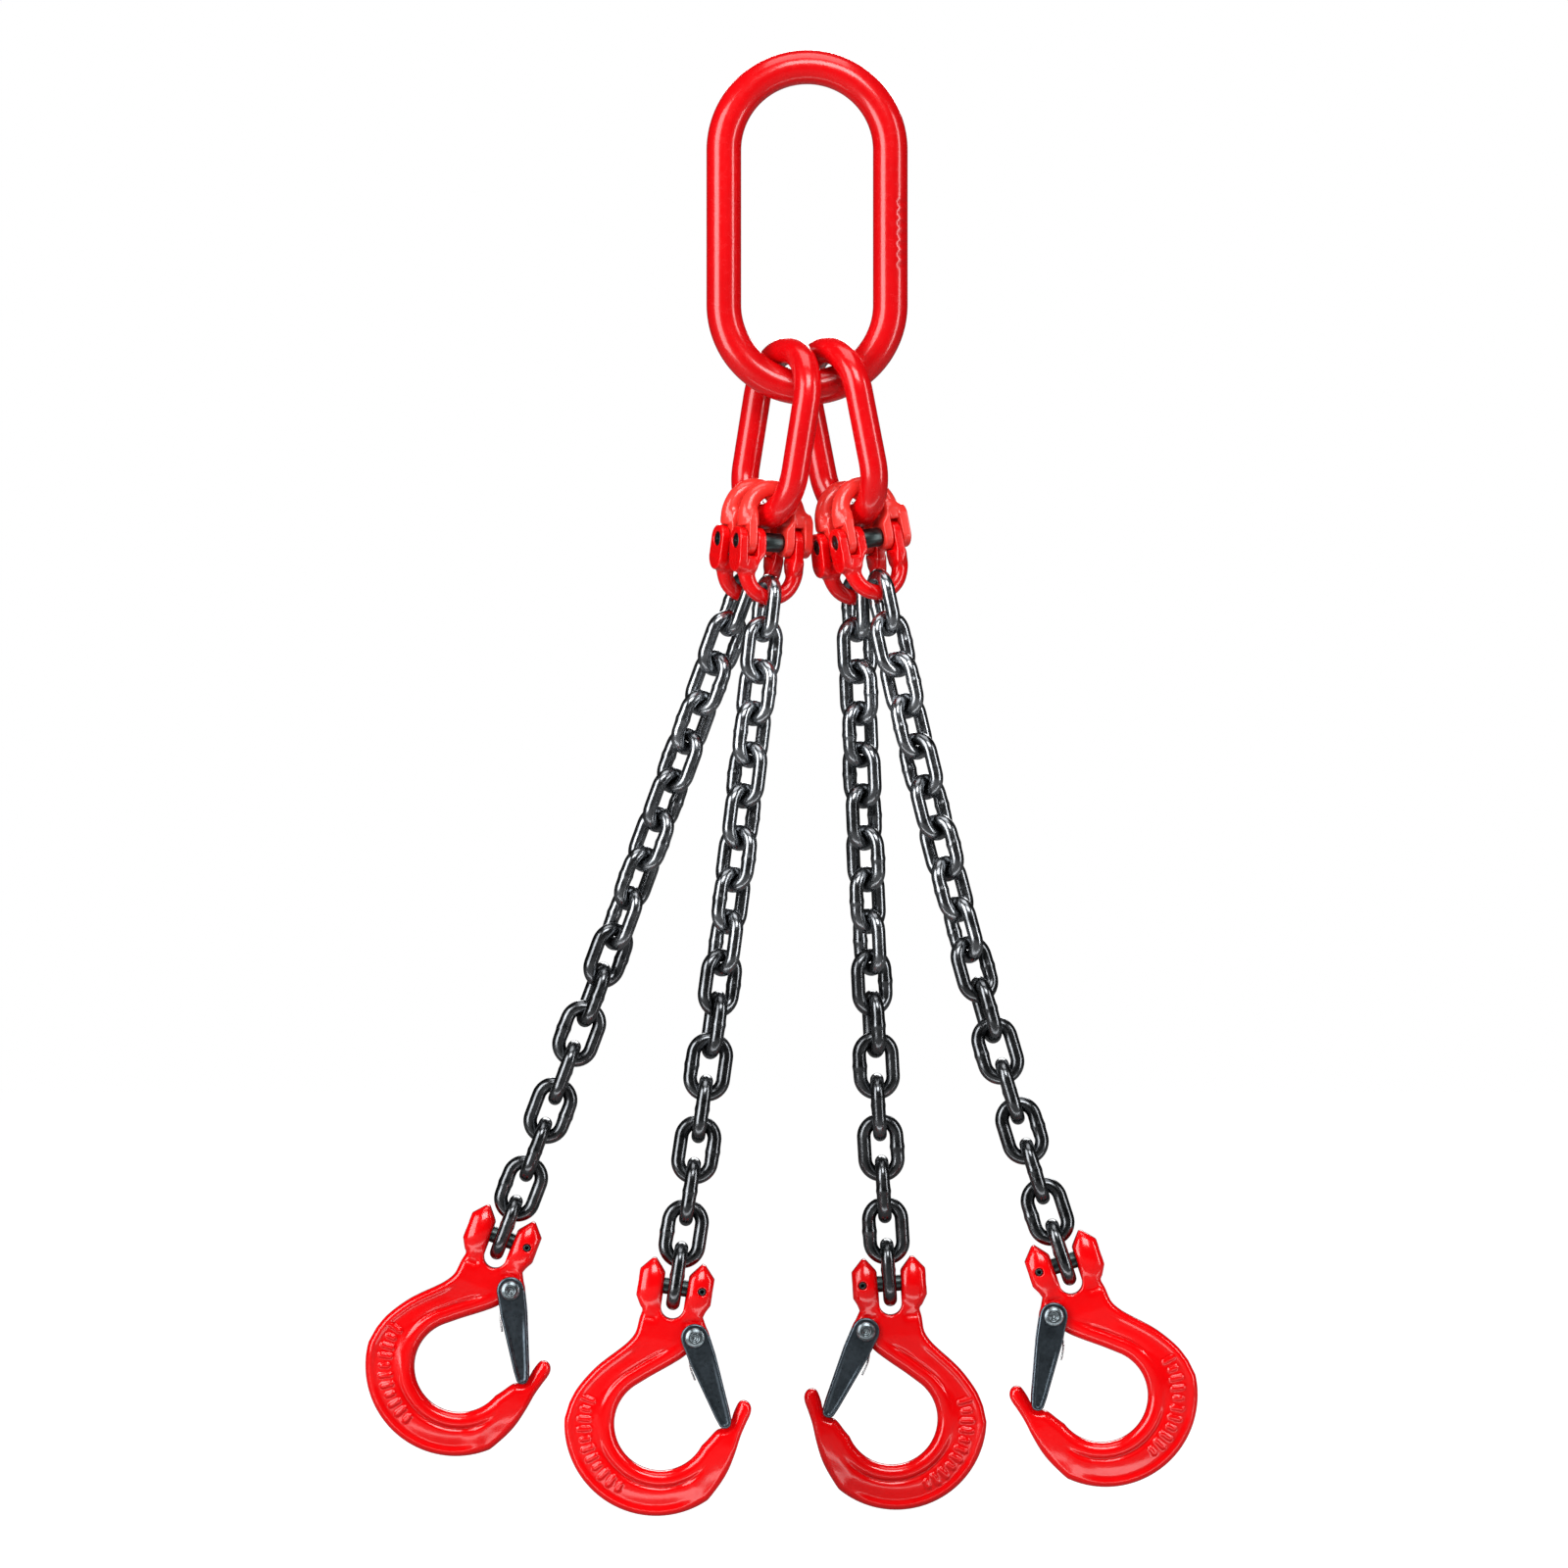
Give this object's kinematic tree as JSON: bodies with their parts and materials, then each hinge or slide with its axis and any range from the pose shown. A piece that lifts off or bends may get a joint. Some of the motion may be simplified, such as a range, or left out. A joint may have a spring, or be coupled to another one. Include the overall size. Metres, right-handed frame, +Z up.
{
  "type": "four leg chain sling",
  "caption": "Chain lifting sling: oblong master link, intermediate links, connecting links and black chain legs that end in red clevis sling hooks with latches.",
  "frame": {"origin": "the point inside the master link's crown where the crane hook bears", "axes": "+Z up along the hanging sling, +X to the right of the spread legs, +Y away from the viewer through the master link"},
  "size_m": [0.4795, 0.1073, 0.8451],
  "materials": {
    "red_paint": "glossy bright red paint",
    "orange_red_paint": "glossy, slightly lighter red paint",
    "black_chain_steel": "glossy black lacquered alloy steel",
    "dark_pin_steel": "dark oiled steel",
    "grey_latch_steel": "blue-grey plated sheet steel",
    "bright_steel": "bright zinc-plated steel"
  },
  "bodies": {
    "master_link": {"master_link": "red_paint"},
    "intermediate_link_left": {"intermediate_link_left": "red_paint"},
    "intermediate_link_right": {"intermediate_link_right": "red_paint"},
    "leg_1_connector_upper": {"leg_1_connector_upper_half": "orange_red_paint", "leg_1_connector_load_pin": "dark_pin_steel", "leg_1_connector_bush": "dark_pin_steel"},
    "leg_1_connector_lower": {"leg_1_connector_lower_half": "red_paint"},
    "leg_1_chain_a": {"leg_1_chain_a": "black_chain_steel"},
    "leg_1_chain_b": {"leg_1_chain_b": "black_chain_steel"},
    "leg_1_chain_c": {"leg_1_chain_c": "black_chain_steel"},
    "leg_1_chain_d": {"leg_1_chain_d": "black_chain_steel"},
    "leg_1_hook": {"leg_1_hook_body": "red_paint", "leg_1_hook_clevis_pin": "dark_pin_steel", "leg_1_hook_retaining_pin": "black_chain_steel", "leg_1_latch_rivet": "bright_steel"},
    "leg_1_latch": {"leg_1_latch": "grey_latch_steel", "leg_1_latch_spring": "bright_steel"},
    "leg_2_connector_upper": {"leg_2_connector_upper_half": "orange_red_paint", "leg_2_connector_load_pin": "dark_pin_steel", "leg_2_connector_bush": "dark_pin_steel"},
    "leg_2_connector_lower": {"leg_2_connector_lower_half": "red_paint"},
    "leg_2_chain_a": {"leg_2_chain_a": "black_chain_steel"},
    "leg_2_chain_b": {"leg_2_chain_b": "black_chain_steel"},
    "leg_2_chain_c": {"leg_2_chain_c": "black_chain_steel"},
    "leg_2_chain_d": {"leg_2_chain_d": "black_chain_steel"},
    "leg_2_hook": {"leg_2_hook_body": "red_paint", "leg_2_hook_clevis_pin": "dark_pin_steel", "leg_2_hook_retaining_pin": "black_chain_steel", "leg_2_latch_rivet": "bright_steel"},
    "leg_2_latch": {"leg_2_latch": "grey_latch_steel", "leg_2_latch_spring": "bright_steel"},
    "leg_3_connector_upper": {"leg_3_connector_upper_half": "orange_red_paint", "leg_3_connector_load_pin": "dark_pin_steel", "leg_3_connector_bush": "dark_pin_steel"},
    "leg_3_connector_lower": {"leg_3_connector_lower_half": "red_paint"},
    "leg_3_chain_a": {"leg_3_chain_a": "black_chain_steel"},
    "leg_3_chain_b": {"leg_3_chain_b": "black_chain_steel"},
    "leg_3_chain_c": {"leg_3_chain_c": "black_chain_steel"},
    "leg_3_chain_d": {"leg_3_chain_d": "black_chain_steel"},
    "leg_3_hook": {"leg_3_hook_body": "red_paint", "leg_3_hook_clevis_pin": "dark_pin_steel", "leg_3_hook_retaining_pin": "black_chain_steel", "leg_3_latch_rivet": "bright_steel"},
    "leg_3_latch": {"leg_3_latch": "grey_latch_steel", "leg_3_latch_spring": "bright_steel"},
    "leg_4_connector_upper": {"leg_4_connector_upper_half": "orange_red_paint", "leg_4_connector_load_pin": "dark_pin_steel", "leg_4_connector_bush": "dark_pin_steel"},
    "leg_4_connector_lower": {"leg_4_connector_lower_half": "red_paint"},
    "leg_4_chain_a": {"leg_4_chain_a": "black_chain_steel"},
    "leg_4_chain_b": {"leg_4_chain_b": "black_chain_steel"},
    "leg_4_chain_c": {"leg_4_chain_c": "black_chain_steel"},
    "leg_4_chain_d": {"leg_4_chain_d": "black_chain_steel"},
    "leg_4_hook": {"leg_4_hook_body": "red_paint", "leg_4_hook_clevis_pin": "dark_pin_steel", "leg_4_hook_retaining_pin": "black_chain_steel", "leg_4_latch_rivet": "bright_steel"},
    "leg_4_latch": {"leg_4_latch": "grey_latch_steel", "leg_4_latch_spring": "bright_steel"}
  },
  "joints": [
    {"name": "intermediate_link_left_spread", "type": "hinge", "parent": "master_link", "child": "intermediate_link_left", "pos_m": [0, 0, -0.127], "axis": [0, 1, 0], "range_deg": [0, 30]},
    {"name": "intermediate_link_right_spread", "type": "hinge", "parent": "master_link", "child": "intermediate_link_right", "pos_m": [0, 0, -0.127], "axis": [0, -1, 0], "range_deg": [0, 30]},
    {"name": "leg_1_connector_swing", "type": "hinge", "parent": "intermediate_link_left", "child": "leg_1_connector_upper", "pos_m": [-0.02876, 0.00727, -0.23205], "axis": [0.9051, 0.4226, -0.0474], "range_deg": [0, 30]},
    {"name": "leg_1_connector_fold", "type": "hinge", "parent": "leg_1_connector_upper", "child": "leg_1_connector_lower", "pos_m": [-0.0313, 0.00923, -0.26288], "axis": [0.9051, 0.4226, -0.0474], "range_deg": [0, 18]},
    {"name": "leg_1_chain_a_bend", "type": "hinge", "parent": "leg_1_connector_lower", "child": "leg_1_chain_a", "pos_m": [-0.03536, 0.01246, -0.28425], "axis": [-0.3762, 0.9041, 0.2026], "range_deg": [0, 25]},
    {"name": "leg_1_chain_b_bend", "type": "hinge", "parent": "leg_1_chain_a", "child": "leg_1_chain_b", "pos_m": [-0.06812, 0.01919, -0.37477], "axis": [-0.6821, 0.6675, 0.2986], "range_deg": [0, 25]},
    {"name": "leg_1_chain_c_bend", "type": "hinge", "parent": "leg_1_chain_b", "child": "leg_1_chain_c", "pos_m": [-0.10968, 0.02762, -0.48788], "axis": [0.7908, 0.5578, -0.2519], "range_deg": [0, 25]},
    {"name": "leg_1_chain_d_bend", "type": "hinge", "parent": "leg_1_chain_c", "child": "leg_1_chain_d", "pos_m": [-0.14332, 0.03435, -0.57808], "axis": [0.936, 0, -0.352], "range_deg": [0, 25]},
    {"name": "leg_1_hook_swing", "type": "hinge", "parent": "leg_1_chain_d", "child": "leg_1_hook", "pos_m": [-0.17697, 0.04101, -0.6671], "axis": [0.9348, 0, -0.3551], "range_deg": [-60, 60]},
    {"name": "leg_1_latch_open", "type": "hinge", "parent": "leg_1_hook", "child": "leg_1_latch", "pos_m": [-0.17198, 0.04101, -0.69734], "axis": [0, 1, 0], "range_deg": [0, 35], "stiffness_Nm_per_rad": 0.4, "springref_deg": -17.19},
    {"name": "leg_2_connector_swing", "type": "hinge", "parent": "intermediate_link_left", "child": "leg_2_connector_upper", "pos_m": [-0.0199, -0.00727, -0.23355], "axis": [-0.9051, -0.4226, 0.0474], "range_deg": [0, 30]},
    {"name": "leg_2_connector_fold", "type": "hinge", "parent": "leg_2_connector_upper", "child": "leg_2_connector_lower", "pos_m": [-0.0206, -0.00923, -0.26448], "axis": [-0.9051, -0.4226, 0.0474], "range_deg": [0, 18]},
    {"name": "leg_2_chain_a_bend", "type": "hinge", "parent": "leg_2_connector_lower", "child": "leg_2_chain_a", "pos_m": [-0.02181, -0.0102, -0.28651], "axis": [-0.427, 0.9041, -0.0165], "range_deg": [0, 25]},
    {"name": "leg_2_chain_b_bend", "type": "hinge", "parent": "leg_2_chain_a", "child": "leg_2_chain_b", "pos_m": [-0.03276, -0.01693, -0.38215], "axis": [-0.7434, 0.6675, 0.0433], "range_deg": [0, 25]},
    {"name": "leg_2_chain_c_bend", "type": "hinge", "parent": "leg_2_chain_b", "child": "leg_2_chain_c", "pos_m": [-0.04794, -0.02536, -0.50169], "axis": [0.8163, 0.5578, -0.1498], "range_deg": [0, 10]},
    {"name": "leg_2_chain_d_bend", "type": "hinge", "parent": "leg_2_chain_c", "child": "leg_2_chain_d", "pos_m": [-0.06123, -0.03209, -0.59704], "axis": [-0.9894, 0, 0.1449], "range_deg": [0, 25]},
    {"name": "leg_2_hook_swing", "type": "hinge", "parent": "leg_2_chain_d", "child": "leg_2_hook", "pos_m": [-0.0754, -0.03875, -0.69114], "axis": [-0.9882, 0, 0.153], "range_deg": [-60, 60]},
    {"name": "leg_2_latch_open", "type": "hinge", "parent": "leg_2_hook", "child": "leg_2_latch", "pos_m": [-0.06424, -0.03875, -0.71969], "axis": [0, 1, 0], "range_deg": [0, 35], "stiffness_Nm_per_rad": 0.4, "springref_deg": -17.19},
    {"name": "leg_3_connector_swing", "type": "hinge", "parent": "intermediate_link_right", "child": "leg_3_connector_upper", "pos_m": [0.02165, 0.00727, -0.23326], "axis": [0.8951, 0.4226, 0.1418], "range_deg": [0, 30]},
    {"name": "leg_3_connector_fold", "type": "hinge", "parent": "leg_3_connector_upper", "child": "leg_3_connector_lower", "pos_m": [0.02559, 0.00923, -0.26394], "axis": [0.8951, 0.4226, 0.1418], "range_deg": [0, 18]},
    {"name": "leg_3_chain_a_bend", "type": "hinge", "parent": "leg_3_connector_lower", "child": "leg_3_chain_a", "pos_m": [0.02755, 0.01134, -0.28584], "axis": [0.4246, -0.9041, -0.0484], "range_deg": [0, 25]},
    {"name": "leg_3_chain_b_bend", "type": "hinge", "parent": "leg_3_chain_a", "child": "leg_3_chain_b", "pos_m": [0.03118, 0.01807, -0.38204], "axis": [0.7445, -0.6675, -0.0152], "range_deg": [0, 25]},
    {"name": "leg_3_chain_c_bend", "type": "hinge", "parent": "leg_3_chain_b", "child": "leg_3_chain_c", "pos_m": [0.03672, 0.0265, -0.50241], "axis": [0.8259, 0.5578, 0.0817], "range_deg": [0, 25]},
    {"name": "leg_3_chain_d_bend", "type": "hinge", "parent": "leg_3_chain_c", "child": "leg_3_chain_d", "pos_m": [0.04195, 0.03323, -0.59854], "axis": [0.9983, 0, 0.059], "range_deg": [0, 25]},
    {"name": "leg_3_hook_swing", "type": "hinge", "parent": "leg_3_chain_d", "child": "leg_3_hook", "pos_m": [0.04783, 0.03988, -0.69352], "axis": [0.9979, 0, 0.0645], "range_deg": [-60, 60]},
    {"name": "leg_3_latch_open", "type": "hinge", "parent": "leg_3_hook", "child": "leg_3_latch", "pos_m": [0.03417, 0.03988, -0.72096], "axis": [0, -1, 0], "range_deg": [0, 35], "stiffness_Nm_per_rad": 0.4, "springref_deg": -17.19},
    {"name": "leg_4_connector_swing", "type": "hinge", "parent": "intermediate_link_right", "child": "leg_4_connector_upper", "pos_m": [0.03047, -0.00727, -0.23151], "axis": [-0.8951, -0.4226, -0.1418], "range_deg": [0, 30]},
    {"name": "leg_4_connector_fold", "type": "hinge", "parent": "leg_4_connector_upper", "child": "leg_4_connector_lower", "pos_m": [0.03621, -0.00923, -0.26191], "axis": [-0.8951, -0.4226, -0.1418], "range_deg": [0, 18]},
    {"name": "leg_4_chain_a_bend", "type": "hinge", "parent": "leg_4_connector_lower", "child": "leg_4_chain_a", "pos_m": [0.04054, -0.0109, -0.28352], "axis": [0.4, -0.9041, 0.1504], "range_deg": [0, 25]},
    {"name": "leg_4_chain_b_bend", "type": "hinge", "parent": "leg_4_chain_a", "child": "leg_4_chain_b", "pos_m": [0.06165, -0.01764, -0.37744], "axis": [0.7112, -0.6675, 0.2204], "range_deg": [0, 25]},
    {"name": "leg_4_chain_c_bend", "type": "hinge", "parent": "leg_4_chain_b", "child": "leg_4_chain_c", "pos_m": [0.09159, -0.02606, -0.49416], "axis": [-0.8092, -0.5578, -0.1844], "range_deg": [0, 25]},
    {"name": "leg_4_chain_d_bend", "type": "hinge", "parent": "leg_4_chain_c", "child": "leg_4_chain_d", "pos_m": [0.11828, -0.03279, -0.58665], "axis": [-0.956, 0, -0.2933], "range_deg": [0, 25]},
    {"name": "leg_4_hook_swing", "type": "hinge", "parent": "leg_4_chain_d", "child": "leg_4_hook", "pos_m": [0.14708, -0.03945, -0.67735], "axis": [-0.95, 0, -0.3123], "range_deg": [-60, 60]},
    {"name": "leg_4_latch_open", "type": "hinge", "parent": "leg_4_hook", "child": "leg_4_latch", "pos_m": [0.14073, -0.03945, -0.70733], "axis": [0, -1, 0], "range_deg": [0, 35], "stiffness_Nm_per_rad": 0.4, "springref_deg": -17.19}
  ]
}
